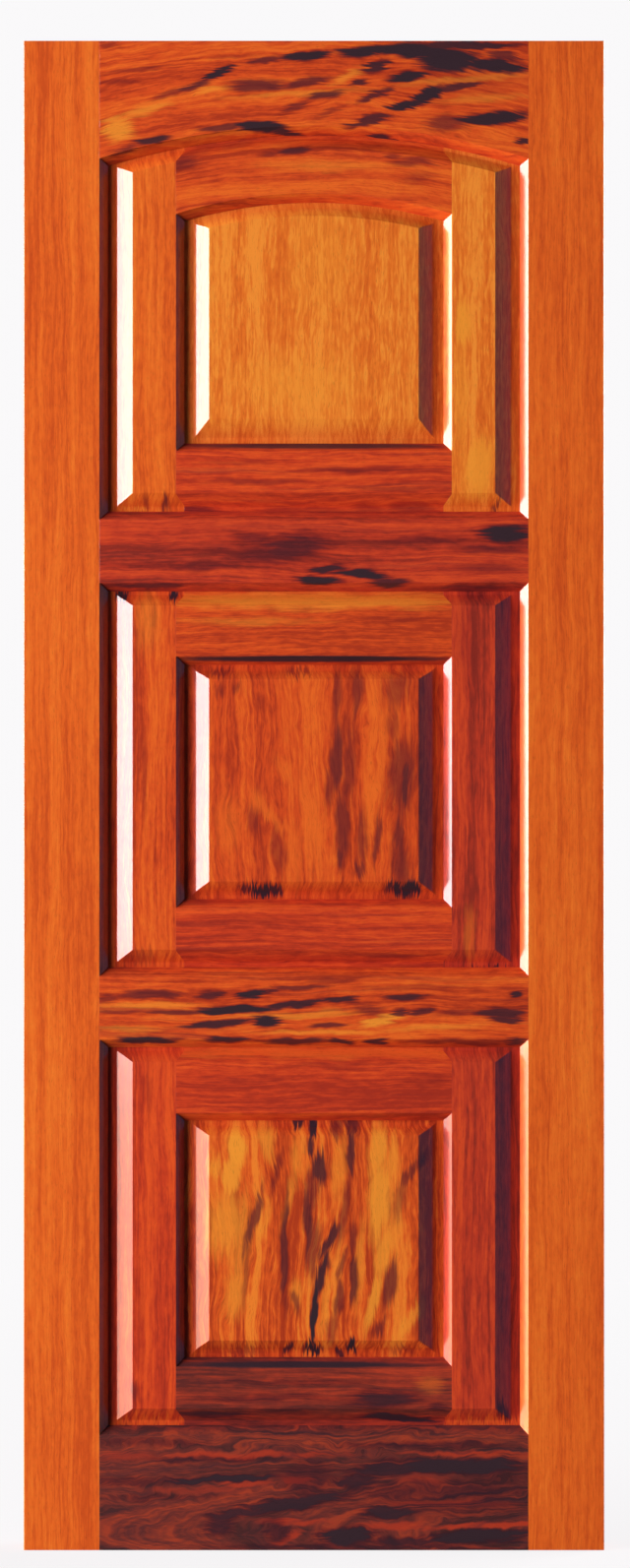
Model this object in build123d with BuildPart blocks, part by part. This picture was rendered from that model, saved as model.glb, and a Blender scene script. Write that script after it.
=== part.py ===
from build123d import *
import os

# A panelled front door leaf in solid hardwood. The leaf has two stiles and four rails,
# the top rail arched on its lower edge. Each of the three openings holds an inner frame
# of its own, and each inner frame holds a raised centre panel. Both faces are alike.
# Millimetres. X runs across the leaf, Y through its thickness and Z up. The origin is
# at the middle of the bottom edge, and the front faces -Y.

# The whole leaf
leaf_height = 1981.0
leaf_width = 762.0
leaf_thickness = 44.0
arris = 1.0

# Flat widths of the outer frame, as they are seen on the face
stile_flat = 99.5
bottom_rail_flat = 151.5
lower_rail_flat = 84.0
upper_rail_flat = 84.0
top_rail_at_crown = 111.5
arch_rise = 43.0

# Clear heights of the two square openings, the upper one takes what is left
lower_opening_height = 518.5
middle_opening_height = 515.5

# Flat widths of the inner frames
inner_stile_flat = 57.0
inner_bottom_flat = 55.5
inner_top_flat = 67.0
inner_top_at_crown = 59.0
inner_arch_rise = 27.0

# The splayed moulding worked on the edge of every opening
sticking_width = 10.5
sticking_depth = 12.0
sticking_quirk = 1.0
sticking_toe = 1.0

# The margin round everything that is raised: a flat land, then a bevel. The bevel at
# the foot of the upper centre panel is wider than the others
side_land = 11.5
side_bevel = 21.5
bottom_land = 6.5
bottom_bevel = 17.0
upper_panel_bevel = 25.0
top_land = 4.5
top_bevel = 14.5
setback = 0.5

# Grooves and the tongues that float in them
groove_depth = 12.0
tongue_gap = 2.0
cheek_gap = 0.2

# Dowels in the corner joints of the outer frame
dowel_diameter = 14.0
dowel_length = 100.0
dowel_taper = 1.5
dowel_end_gap = 2.0
dowel_glue = 0.1
wide_rail_dowel_edge = 30.0
narrow_rail_dowel_edge = 21.0

# Half thicknesses, from the face of the leaf down to the centre panels
frame_face = leaf_thickness / 2
frame_groove = frame_face - sticking_depth
inner_face = frame_face - setback
inner_groove = inner_face - sticking_depth
field_face = inner_face - setback

# Lines across the leaf, measured from its middle
opening_half = leaf_width / 2 - stile_flat
frame_toe = opening_half - sticking_width
joint_half = frame_toe + groove_depth
inner_opening_half = frame_toe - side_land - side_bevel - inner_stile_flat
inner_toe = inner_opening_half - sticking_width
inner_joint_half = inner_toe + groove_depth

# Heights of the openings
lower_low = bottom_rail_flat
lower_high = lower_low + lower_opening_height
middle_low = lower_high + lower_rail_flat
middle_high = middle_low + middle_opening_height
upper_low = middle_high + upper_rail_flat
upper_crown = leaf_height - top_rail_at_crown
bottom_margin = sticking_width + bottom_land + bottom_bevel
top_margin = sticking_width + top_land + top_bevel

# How far a cutter reaches past the edge that it shapes, and past both faces
cutter_reach = arch_rise + stile_flat
cutter_face = leaf_thickness


def arc_radius(half_span, rise):
    """Radius of the arc that rises by this much over this half span."""
    return (half_span**2 + rise**2) / (2 * rise)


frame_arch_radius = arc_radius(opening_half, arch_rise)
inner_arch_radius = arc_radius(inner_opening_half, inner_arch_rise)


class Edge:
    """One edge of an opening or of a raised piece: straight, or the arc of an arch.

    The edge passes through (x, z), and out_x, out_z is the way out of the material.
    """

    def __init__(self, x, z, out_x, out_z, radius=None):
        self.x = x
        self.z = z
        self.out_x = out_x
        self.out_z = out_z
        self.radius = radius

    def plane(self):
        """Plane across the edge: its x runs out of the material and its y through it."""
        return Plane(
            origin=(self.x, 0, self.z),
            x_dir=(self.out_x, 0, self.out_z),
            z_dir=(-self.out_z, 0, self.out_x),
        )

    def moved(self, distance):
        """The same edge, moved out of the material by this distance."""
        radius = self.radius
        if radius is not None:
            radius = radius + distance * self.out_z
        return Edge(
            self.x + distance * self.out_x,
            self.z + distance * self.out_z,
            self.out_x,
            self.out_z,
            radius,
        )

    def other_side(self):
        """The same edge, seen from the material on its other side."""
        return Edge(self.x, self.z, -self.out_x, -self.out_z, self.radius)

    def cut(self, section):
        """Take a section off the part along the whole edge."""
        if self.radius is None:
            extrude(section, amount=leaf_height, both=True, mode=Mode.SUBTRACT)
        else:
            centre = Axis((0, 0, self.z - self.radius), (0, 1, 0))
            revolve(section, axis=centre, mode=Mode.SUBTRACT)


def upright_edge(x, out):
    """An upright edge of a piece. out is 1 or -1, the way out of the material along X."""
    return Edge(x, leaf_height / 2, out, 0)


def sticking_section(edge, face, groove):
    """What is taken off an opening's edge: the splayed moulding, and the groove in it."""
    groove_bottom = sticking_width - groove_depth
    with BuildSketch(edge.plane()) as section:
        with BuildLine():
            Polyline(
                (0, cutter_face),
                (0, face - sticking_quirk),
                (sticking_width, groove + sticking_toe),
                (sticking_width, groove),
                (groove_bottom, groove),
                (groove_bottom, -groove),
                (sticking_width, -groove),
                (sticking_width, -groove - sticking_toe),
                (0, sticking_quirk - face),
                (0, -cutter_face),
                (cutter_reach, -cutter_face),
                (cutter_reach, cutter_face),
                close=True,
            )
        make_face()
    return section.sketch


def nose_section(edge, face, groove):
    """The moulded nose of a stile, which the end of each rail is scribed over."""
    with BuildSketch(edge.plane()) as section:
        for side in (-1, 1):
            with BuildLine():
                Polyline(
                    (0, side * groove),
                    (0, side * (face - sticking_quirk)),
                    (sticking_width, side * (groove + sticking_toe)),
                    (sticking_width, side * groove),
                    close=True,
                )
            make_face()
    return section.sketch


def margin_section(edge, face, groove, land, bevel, tongue):
    """What is taken off a raised piece outside its flat: bevel, land and tongue end."""
    cheek = groove - cheek_gap
    end = bevel + land + tongue
    with BuildSketch(edge.plane()) as section:
        with BuildLine():
            Polyline(
                (0, cutter_face),
                (0, face),
                (bevel, cheek),
                (end, cheek),
                (end, -cheek),
                (bevel, -cheek),
                (0, -face),
                (0, -cutter_face),
                (cutter_reach, -cutter_face),
                (cutter_reach, cutter_face),
                close=True,
            )
        make_face()
    return section.sketch


def block(left, right, low, high, half_thickness):
    """A plain length of timber, squared up in place."""
    with BuildSketch(Plane.XZ) as outline:
        with Locations(((left + right) / 2, (low + high) / 2)):
            Rectangle(right - left, high - low)
    extrude(outline.sketch, amount=half_thickness, both=True)


def cut_sticking(edge, face, groove):
    """Work the moulding and the groove along one edge of an opening."""
    edge.cut(sticking_section(edge, face, groove))


def scribe_ends(half_span, face, groove):
    """Scribe both ends of a rail over the moulded edges of its stiles."""
    for side in (-1, 1):
        stile_edge = upright_edge(side * half_span, -side)
        extrude(
            nose_section(stile_edge, face, groove),
            amount=leaf_height,
            both=True,
            mode=Mode.SUBTRACT,
        )


def cut_side_margin(side, opening, face, groove):
    """Raise a piece along one upright edge, inside an opening of this half width."""
    edge = upright_edge(side * opening, side)
    raised = edge.moved(-(sticking_width + side_land + side_bevel))
    tongue = groove_depth - tongue_gap
    raised.cut(margin_section(raised, face, groove, side_land, side_bevel, tongue))


def cut_bottom_margin(edge, face, groove, bevel=bottom_bevel):
    """Raise a piece along its bottom edge, its tongue seated in the groove."""
    raised = edge.moved(-(sticking_width + bottom_land + bevel))
    raised.cut(margin_section(raised, face, groove, bottom_land, bevel, groove_depth))


def cut_top_margin(edge, face, groove):
    """Raise a piece along its top edge, its tongue short of the bottom of the groove."""
    raised = edge.moved(-top_margin)
    tongue = groove_depth - tongue_gap
    raised.cut(margin_section(raised, face, groove, top_land, top_bevel, tongue))


class Opening:
    """One opening of the outer frame, and the opening of the inner frame in it."""

    def __init__(self, name, low, high, top_radius, inner_top, inner_radius, panel_bevel):
        self.name = name
        self.panel_bevel = panel_bevel
        self.bottom = Edge(0, low, 0, -1)
        self.top = Edge(0, high, 0, 1, top_radius)
        inner_low = low + bottom_margin + inner_bottom_flat
        inner_high = high - top_margin - inner_top
        self.inner_bottom = Edge(0, inner_low, 0, -1)
        self.inner_top = Edge(0, inner_high, 0, 1, inner_radius)


openings = [
    Opening("lower", lower_low, lower_high, None, inner_top_flat, None, bottom_bevel),
    Opening("middle", middle_low, middle_high, None, inner_top_flat, None, bottom_bevel),
    Opening(
        "upper",
        upper_low,
        upper_crown,
        frame_arch_radius,
        inner_top_at_crown,
        inner_arch_radius,
        upper_panel_bevel,
    ),
]

# Heights of the dowels in each corner joint of the outer frame
upper_springing = upper_crown - arch_rise
dowel_heights = {
    "bottom_rail": [
        wide_rail_dowel_edge,
        lower_low / 2,
        lower_low - wide_rail_dowel_edge,
    ],
    "lower_rail": [
        lower_high + narrow_rail_dowel_edge,
        middle_low - narrow_rail_dowel_edge,
    ],
    "upper_rail": [
        middle_high + narrow_rail_dowel_edge,
        upper_low - narrow_rail_dowel_edge,
    ],
    "top_rail": [
        upper_springing + wide_rail_dowel_edge,
        leaf_height - wide_rail_dowel_edge,
    ],
}


def dowel_places(side, heights, way):
    """Planes at a joint: each looks along the leaf, out of the timber to be bored."""
    return [Plane(origin=(side * joint_half, 0, z), z_dir=(way, 0, 0)) for z in heights]


def bore_dowels(side, heights, way):
    """Bore one end of a joint for its dowels."""
    with Locations(*dowel_places(side, heights, way)):
        Hole(
            radius=dowel_diameter / 2 + dowel_glue,
            depth=dowel_length / 2 + dowel_end_gap,
        )


def save(piece, name):
    """Name a finished piece and write it out."""
    piece.part.label = name
    export_step(piece.part, "parts/" + name + ".step")


def make_stile(name, side):
    """A stile of the outer frame. side is -1 for the left one and 1 for the right one."""
    edges = sorted((side * frame_toe, side * leaf_width / 2))
    with BuildPart() as stile:
        block(edges[0], edges[1], 0, leaf_height, frame_face)
        upright_edges = stile.edges().filter_by(Axis.Z).group_by(Axis.X)
        chamfer(upright_edges[-1] if side > 0 else upright_edges[0], length=arris)
        cut_sticking(upright_edge(side * opening_half, -side), frame_face, frame_groove)
        for heights in dowel_heights.values():
            bore_dowels(side, heights, -side)
    save(stile, name)


def make_rail(name, low, high, moulded_edges):
    """A rail of the outer frame, with its mouldings, scribed ends and stub tenons."""
    with BuildPart() as rail:
        block(-opening_half, opening_half, low, high, frame_face)
        block(-joint_half, joint_half, low, high, frame_groove)
        scribe_ends(opening_half, frame_face, frame_groove)
        for edge in moulded_edges:
            cut_sticking(edge, frame_face, frame_groove)
        for side in (-1, 1):
            bore_dowels(side, dowel_heights[name], side)
    save(rail, name)


def make_inner_stile(opening, side, name):
    """A stile of an inner frame: raised at its outer edge and ends, moulded inside."""
    edges = sorted((side * inner_toe, side * joint_half))
    with BuildPart() as stile:
        block(
            edges[0],
            edges[1],
            opening.bottom.z - groove_depth,
            opening.top.z + groove_depth,
            inner_face,
        )
        cut_side_margin(side, opening_half, inner_face, frame_groove)
        cut_bottom_margin(opening.bottom, inner_face, frame_groove)
        cut_top_margin(opening.top, inner_face, frame_groove)
        cut_sticking(upright_edge(side * inner_opening_half, -side), inner_face, inner_groove)
    save(stile, name)


def make_inner_rail(outer_edge, inner_edge, cut_margin, name):
    """A rail of an inner frame: raised along its outer edge, moulded along its inner one."""
    nose = sticking_width + (inner_arch_rise if inner_edge.radius else 0)
    outer_limit = outer_edge.z + outer_edge.out_z * groove_depth
    inner_limit = inner_edge.z - inner_edge.out_z * nose
    low, high = sorted((outer_limit, inner_limit))
    with BuildPart() as rail:
        block(-inner_opening_half, inner_opening_half, low, high, inner_face)
        block(-inner_joint_half, inner_joint_half, low, high, inner_groove)
        scribe_ends(inner_opening_half, inner_face, inner_groove)
        cut_margin(outer_edge, inner_face, frame_groove)
        cut_sticking(inner_edge.other_side(), inner_face, inner_groove)
    save(rail, name)


def make_centre_panel(opening, name):
    """A raised centre panel, floating in the grooves of its inner frame."""
    with BuildPart() as panel:
        block(
            -inner_joint_half,
            inner_joint_half,
            opening.inner_bottom.z - groove_depth,
            opening.inner_top.z + groove_depth,
            field_face,
        )
        for side in (-1, 1):
            cut_side_margin(side, inner_opening_half, field_face, inner_groove)
        cut_bottom_margin(
            opening.inner_bottom,
            field_face,
            inner_groove,
            opening.panel_bevel,
        )
        cut_top_margin(opening.inner_top, field_face, inner_groove)
    save(panel, name)


def make_dowels(name):
    """All the dowels of the outer frame: hidden, half in the stile and half in the rail."""
    with BuildPart() as dowels:
        for side in (-1, 1):
            for heights in dowel_heights.values():
                with Locations(*dowel_places(side, heights, side)):
                    Cylinder(dowel_diameter / 2, dowel_length)
        ends = dowels.edges().filter_by(GeomType.CIRCLE)
        chamfer(ends, length=dowel_taper)
    save(dowels, name)


os.makedirs("parts", exist_ok=True)

lower_opening, middle_opening, upper_opening = openings
lower_rail_edges = [lower_opening.top.other_side(), middle_opening.bottom.other_side()]
upper_rail_edges = [middle_opening.top.other_side(), upper_opening.bottom.other_side()]

make_stile("left_stile", -1)
make_stile("right_stile", 1)
make_rail("bottom_rail", 0, lower_low + sticking_width, [lower_opening.bottom.other_side()])
make_rail(
    "lower_rail",
    lower_high - sticking_width,
    middle_low + sticking_width,
    lower_rail_edges,
)
make_rail(
    "upper_rail",
    middle_high - sticking_width,
    upper_low + sticking_width,
    upper_rail_edges,
)
make_rail(
    "top_rail",
    upper_springing - 2 * sticking_width,
    leaf_height,
    [upper_opening.top.other_side()],
)
make_dowels("frame_dowels")

for opening in openings:
    inner = opening.name + "_inner_"
    make_inner_stile(opening, -1, inner + "left_stile")
    make_inner_stile(opening, 1, inner + "right_stile")
    make_inner_rail(
        opening.bottom,
        opening.inner_bottom,
        cut_bottom_margin,
        inner + "bottom_rail",
    )
    make_inner_rail(opening.top, opening.inner_top, cut_top_margin, inner + "top_rail")
    make_centre_panel(opening, opening.name + "_centre_panel")
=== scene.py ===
"""A panelled front door leaf in varnished hardwood, on a plain pale stage.

Every board has its own timber: straight or wandering grain, dark streaks and golden
patches where the real boards have them, pores, and a coat of clear gloss varnish. The
recesses are darkened with painted shade, some mouldings carry painted shadow lines and
patches, and a few golden strips are painted highlights.
Metres. X runs across the leaf, Y through its thickness and Z up. The front faces -Y.
"""

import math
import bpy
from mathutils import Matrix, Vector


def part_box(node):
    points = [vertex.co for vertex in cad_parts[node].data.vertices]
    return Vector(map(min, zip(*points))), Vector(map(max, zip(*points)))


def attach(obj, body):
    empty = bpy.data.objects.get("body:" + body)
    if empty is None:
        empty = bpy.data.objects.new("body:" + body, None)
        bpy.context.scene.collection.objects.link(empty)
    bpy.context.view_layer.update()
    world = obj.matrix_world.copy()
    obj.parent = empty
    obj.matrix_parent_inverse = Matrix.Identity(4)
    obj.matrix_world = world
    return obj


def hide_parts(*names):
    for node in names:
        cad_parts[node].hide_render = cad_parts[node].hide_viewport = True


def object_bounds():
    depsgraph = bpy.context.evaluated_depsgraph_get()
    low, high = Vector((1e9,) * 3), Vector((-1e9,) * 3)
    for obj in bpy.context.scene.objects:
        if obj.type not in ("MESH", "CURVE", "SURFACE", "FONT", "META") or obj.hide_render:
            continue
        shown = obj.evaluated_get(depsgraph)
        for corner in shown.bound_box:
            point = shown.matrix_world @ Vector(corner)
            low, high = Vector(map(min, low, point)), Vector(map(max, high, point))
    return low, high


bl_info = {
    "name": "Panelled Front Door",
    "version": (1, 0, 0),
    "blender": (4, 5, 0),
    "location": "View3D > Sidebar > Door",
    "description": "Finishes the boards of a panelled front door leaf",
    "category": "Object",
}

import bmesh
import bpy
from bpy.props import FloatProperty, FloatVectorProperty, IntProperty, PointerProperty
from mathutils import Vector

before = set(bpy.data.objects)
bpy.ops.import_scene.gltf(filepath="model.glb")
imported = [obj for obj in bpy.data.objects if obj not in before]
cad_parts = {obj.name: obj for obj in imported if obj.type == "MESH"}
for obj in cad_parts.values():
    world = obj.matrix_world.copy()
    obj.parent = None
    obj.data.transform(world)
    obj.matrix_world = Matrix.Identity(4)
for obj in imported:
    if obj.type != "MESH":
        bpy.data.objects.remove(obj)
cad_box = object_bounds()

LEAF_LOW, LEAF_HIGH = cad_box
LEAF_HEIGHT = LEAF_HIGH.z - LEAF_LOW.z
LEAF_FACE = LEAF_HIGH.y

# Edges that turn less than FLAT are dissolved, less than ROUND are shaded as one curve,
# and more than SHARP are eased. Bevels turn less than STEEP at their feet.
MERGE = 1e-6
FLAT = math.radians(0.3)
ROUND = math.radians(12.0)
SHARP = math.radians(20.0)
STEEP = math.radians(40.0)
HOLLOW_SEGMENTS = 5
EASE_SEGMENTS = 2
CIRCULAR = 0.5
LARGE_FACES_FIRST = 100

MM = 0.001
QUARTER_TURN = math.radians(90.0)


# Settings that a user would change


class TimberSettings(bpy.types.PropertyGroup):
    """Colours and scales that all the boards share."""

    # This colour also paints the shadow lines and the painted shade marks
    streak_and_shadow: FloatVectorProperty(
        name="Streak",
        description="Colour of the darkest streaks",
        subtype="COLOR",
        default=(0.040, 0.020, 0.028),
    )
    pore: FloatProperty(
        name="Pore depth",
        description="How much the open pores darken the timber",
        subtype="FACTOR",
        min=0.0,
        max=1.0,
        default=0.22,
    )
    ease: FloatProperty(
        name="Eased edge",
        description="Width of the eased edges of every board",
        subtype="DISTANCE",
        unit="LENGTH",
        min=0.0,
        default=0.0004,
    )
    hollow: FloatProperty(
        name="Hollow",
        description="Width of the hollow that rounds the foot of every bevel, each side",
        subtype="DISTANCE",
        unit="LENGTH",
        min=0.0,
        default=0.006,
    )


class VarnishSettings(bpy.types.PropertyGroup):
    """The clear coat over the boards."""

    coat: FloatProperty(
        name="Coat",
        description="Strength of the clear coat",
        subtype="FACTOR",
        min=0.0,
        max=1.0,
        default=0.75,
    )
    coat_roughness: FloatProperty(
        name="Coat roughness",
        description="Roughness of the clear coat",
        subtype="FACTOR",
        min=0.0,
        max=1.0,
        default=0.15,
    )
    under_roughness: FloatProperty(
        name="Timber roughness",
        description="Roughness of the timber under the coat",
        subtype="FACTOR",
        min=0.0,
        max=1.0,
        default=0.42,
    )


class DowelSettings(bpy.types.PropertyGroup):
    """The fluting of the dowels in the corner joints."""

    flutes: IntProperty(
        name="Flutes",
        description="Number of flutes round a dowel",
        min=3,
        default=14,
    )
    flute_depth: FloatProperty(
        name="Flute depth",
        description="Depth of the flutes",
        subtype="DISTANCE",
        unit="LENGTH",
        min=0.0,
        default=0.0006,
    )
    taper: FloatProperty(
        name="End taper",
        description="Size of the taper at both ends of a dowel",
        subtype="DISTANCE",
        unit="LENGTH",
        min=0.0,
        default=0.0015,
    )
    seed: IntProperty(
        name="Seed",
        description="Seed of the way each dowel is rolled",
        default=3,
    )


class StageSettings(bpy.types.PropertyGroup):
    """Camera, lights and background."""

    page: FloatVectorProperty(
        name="Page",
        description="Colour of the floor and the background",
        subtype="COLOR",
        default=(0.955, 0.945, 0.955),
    )
    key_radiance: FloatProperty(
        name="Key light",
        description="Brightness of the soft light on the left",
        min=0.0,
        default=24.0,
    )
    low_radiance: FloatProperty(
        name="Low key light",
        description="Brightness of the soft light's lowest part",
        min=0.0,
        default=8.7,
    )
    wall_radiance: FloatProperty(
        name="Wall",
        description="Brightness of the dim wall on the right",
        min=0.0,
        default=0.6,
    )
    fill: FloatProperty(
        name="Fill",
        description="Brightness of the light from all round",
        min=0.0,
        default=0.03,
    )
    camera_distance: FloatProperty(
        name="Camera distance",
        description="Distance from the camera to the leaf",
        subtype="DISTANCE",
        unit="LENGTH",
        min=1.0,
        default=4.5,
    )
    photo_width: IntProperty(
        name="Picture width",
        description="Width of the picture in pixels",
        subtype="PIXEL",
        default=640,
    )
    photo_height: IntProperty(
        name="Picture height",
        description="Height of the picture in pixels",
        subtype="PIXEL",
        default=1593,
    )
    leaf_height_px: FloatProperty(
        name="Leaf height in the picture",
        description="Height of the leaf in pixels",
        subtype="PIXEL",
        default=1533.5,
    )
    leaf_middle_px: FloatVectorProperty(
        name="Middle of the leaf in the picture",
        description="Place of the leaf's middle, in pixels from the top left corner",
        size=2,
        default=(318.9, 808.2),
    )


# Shader maths


MEAN = 0.5
TIMBER_SHINE = 0.1


class Field:
    """A value or colour that varies over a surface. Sums on values add Math nodes."""

    def __init__(self, graph, socket):
        self.graph = graph
        self.socket = socket

    def _sum(self, operation, first, second):
        return self.graph.node("ShaderNodeMath", {"operation": operation}, {0: first, 1: second})

    def __add__(self, other):
        return self._sum("ADD", self, other)

    def __radd__(self, other):
        return self._sum("ADD", other, self)

    def __sub__(self, other):
        return self._sum("SUBTRACT", self, other)

    def __rsub__(self, other):
        return self._sum("SUBTRACT", other, self)

    def __mul__(self, other):
        return self._sum("MULTIPLY", self, other)

    def __rmul__(self, other):
        return self._sum("MULTIPLY", other, self)

    def __truediv__(self, other):
        return self._sum("DIVIDE", self, other)

    def __rtruediv__(self, other):
        return self._sum("DIVIDE", other, self)

    def __pow__(self, other):
        return self._sum("POWER", self, other)

    def __abs__(self):
        return self.graph.node("ShaderNodeMath", {"operation": "ABSOLUTE"}, {0: self})

    def larger(self, other):
        """The larger of this and another value."""
        return self._sum("MAXIMUM", self, other)


class Graph:
    """A node tree, and the few things that this file needs from it."""

    def __init__(self, tree):
        self.tree = tree
        self.tree.nodes.clear()

    def node(self, kind, settings, sockets, output=0):
        """Adds a node: its settings first, then the values or links of its sockets. Gives
        back the output that is asked for, or the node where it has none."""
        node = self.tree.nodes.new(kind)
        for key, value in settings.items():
            if key == "stops":
                self._set_stops(node.color_ramp, value)
            else:
                setattr(node, key, value)
        for key, value in sockets.items():
            if isinstance(value, Field):
                self.tree.links.new(value.socket, node.inputs[key])
            else:
                node.inputs[key].default_value = value
        return Field(self, node.outputs[output]) if node.outputs else node

    @staticmethod
    def _set_stops(ramp, stops):
        while len(ramp.elements) < len(stops):
            ramp.elements.new(0.5)
        for element, (place, colour) in zip(ramp.elements, stops):
            element.position = place
            element.color = (*colour, 1.0)

    def point(self):
        """Object coordinates, as a vector."""
        return self.node("ShaderNodeTexCoord", {}, {}, "Object")

    def split(self, vector):
        """The three parts of a vector."""
        parts = self.node("ShaderNodeSeparateXYZ", {}, {0: vector})
        return [Field(self, socket) for socket in parts.socket.node.outputs]

    def join(self, x, y, z):
        """A vector from its three parts."""
        return self.node("ShaderNodeCombineXYZ", {}, {0: x, 1: y, 2: z})

    def noise(self, vector, detail, roughness):
        """Noise from 0 to 1, about MEAN on average."""
        sockets = {"Vector": vector, "Scale": 1.0, "Detail": detail, "Roughness": roughness}
        return self.node("ShaderNodeTexNoise", {"normalize": True}, sockets, "Fac")

    def fade(self, value, low, high):
        """A smooth step: 0 below low and 1 above high, or the other way round."""
        sockets = {"Value": value, "From Min": low, "From Max": high}
        return self.node("ShaderNodeMapRange", {"interpolation_type": "SMOOTHSTEP"}, sockets)

    def mix(self, factor, first, second, blend="MIX"):
        """One colour over another. A Mix node's inputs 6 and 7 and its output 2 are colours."""
        first = first if isinstance(first, Field) else (*first, 1.0)
        second = second if isinstance(second, Field) else (*second, 1.0)
        settings = {"data_type": "RGBA", "blend_type": blend, "clamp_factor": True}
        return self.node("ShaderNodeMix", settings, {0: factor, 6: first, 7: second}, 2)

    def finish(self, sockets, coat=0.0, coat_roughness=0.0):
        """The shader itself, with what varies linked and what doesn't set on its sockets."""
        fixed = {
            "Coat Weight": coat,
            "Coat Roughness": coat_roughness,
            "Specular IOR Level": TIMBER_SHINE,
        }
        shader = self.node("ShaderNodeBsdfPrincipled", {}, {**fixed, **sockets})
        self.node("ShaderNodeOutputMaterial", {}, {"Surface": shader})


def new_paint(name):
    """A new material, and the graph of its empty node tree."""
    paint = bpy.data.materials.new(name)
    paint.use_nodes = True
    return paint, Graph(paint.node_tree)


class Noise:
    """A noise of the timber: how many features it has in a metre along each of its three
    ways, how fine its detail is, and its weight in the figure."""

    def __init__(self, first, second, third=0.0, detail=2.0, roughness=0.5, weight=1.0):
        self.pitches = (first, second, third)
        self.detail = detail
        self.roughness = roughness
        self.weight = weight

    def at(self, graph, first, second, seed, third=None):
        """The noise at a place, from 0 to 1. Its seed shifts the third way."""
        first_pitch, second_pitch, third_pitch = self.pitches
        shift = seed if third is None else third * third_pitch + seed
        place = graph.join(first * first_pitch, second * second_pitch, shift)
        return graph.noise(place, self.detail, self.roughness)

    def swing(self, graph, strength, first, second, seed, third=None):
        """The noise about zero, at this strength times its weight."""
        return (self.at(graph, first, second, seed, third) - MEAN) * (self.weight * strength)


# Colours of timber under clear varnish. A palette runs from the deepest to the palest.
GOLD = [(0.70, 0.120, 0.014), (0.82, 0.180, 0.019), (0.93, 0.29, 0.035)]
BRIGHT = (0.92, 0.32, 0.032)
DEEP_RED = (0.50, 0.045, 0.018)
FLAME = (0.88, 0.170, 0.020)
# Darkens the dark marks: streaks in the timber and painted shade alike
STAIN_AND_SHADE = (0.50, 0.24, 0.50)
ORANGE = [(0.62, 0.079, 0.012), (0.80, 0.133, 0.016), (0.90, 0.207, 0.024)]
AMBER = [(0.46, 0.046, 0.011), (0.76, 0.105, 0.015), (0.90, 0.230, 0.026)]
RED_ORANGE = [(0.44, 0.040, 0.012), (0.70, 0.078, 0.014), (0.84, 0.145, 0.018)]
RED = [(0.40, 0.031, 0.014), (0.62, 0.053, 0.015), (0.80, 0.097, 0.017)]
DARK_RED = [(0.28, 0.027, 0.016), (0.52, 0.043, 0.018), (0.70, 0.074, 0.019)]
WINE = [(0.13, 0.024, 0.020), (0.27, 0.034, 0.020), (0.50, 0.052, 0.020)]
MAROON = [(0.075, 0.022, 0.022), (0.17, 0.030, 0.024), (0.38, 0.050, 0.022)]


# Boards


class Mark:
    """A streak, patch, painted shadow or painted highlight in a board: its middle, its half
    length along the grain, its half width across it, all in millimetres, its slope off the
    grain and its strength."""

    def __init__(self, x, z, length, width, slope, strength):
        self.x = x * MM
        self.z = z * MM
        self.length = length * MM
        self.width = width * MM
        self.slope = slope
        self.strength = strength


class Board:
    """How the timber of one board looks: which way its grain runs, its palette and seed,
    its figure, and the marks in it.

    rings and wave count the growth bands and the bends of the grain in a metre. wander is
    how far the grain strays, in metres, and bow how strongly it arches. contrast, mottle,
    threads and ripple are strengths. heart gives the middle of the rings: its distance
    across the board, its depth and its lean. glow is the colour of the golden marks, some
    of which are painted highlights. Some dark marks are painted shade, and the straight
    lines in the mouldings are painted shadow.
    """

    def __init__(self, upright, colours, seed, **figure):
        self.upright = upright
        self.colours = colours
        self.seed = seed
        self.rings = figure.get("rings", 55.0)
        self.wander = figure.get("wander", 0.005)
        self.wave = figure.get("wave", 4.0)
        self.contrast = figure.get("contrast", 1.0)
        self.mottle = figure.get("mottle", 0.8)
        self.threads = figure.get("threads", 0.0)
        self.ripple = figure.get("ripple", 0.0)
        self.bow = figure.get("bow", 0.0)
        self.heart = figure.get("heart", (0.25, 0.12, 0.0))
        self.glow = figure.get("glow", BRIGHT)
        self.dark = figure.get("dark", [])
        self.gold_and_highlights = figure.get("gold_and_highlights", [])
        # Painted shadow lines along the mouldings
        self.line = figure.get("line", [])


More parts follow.
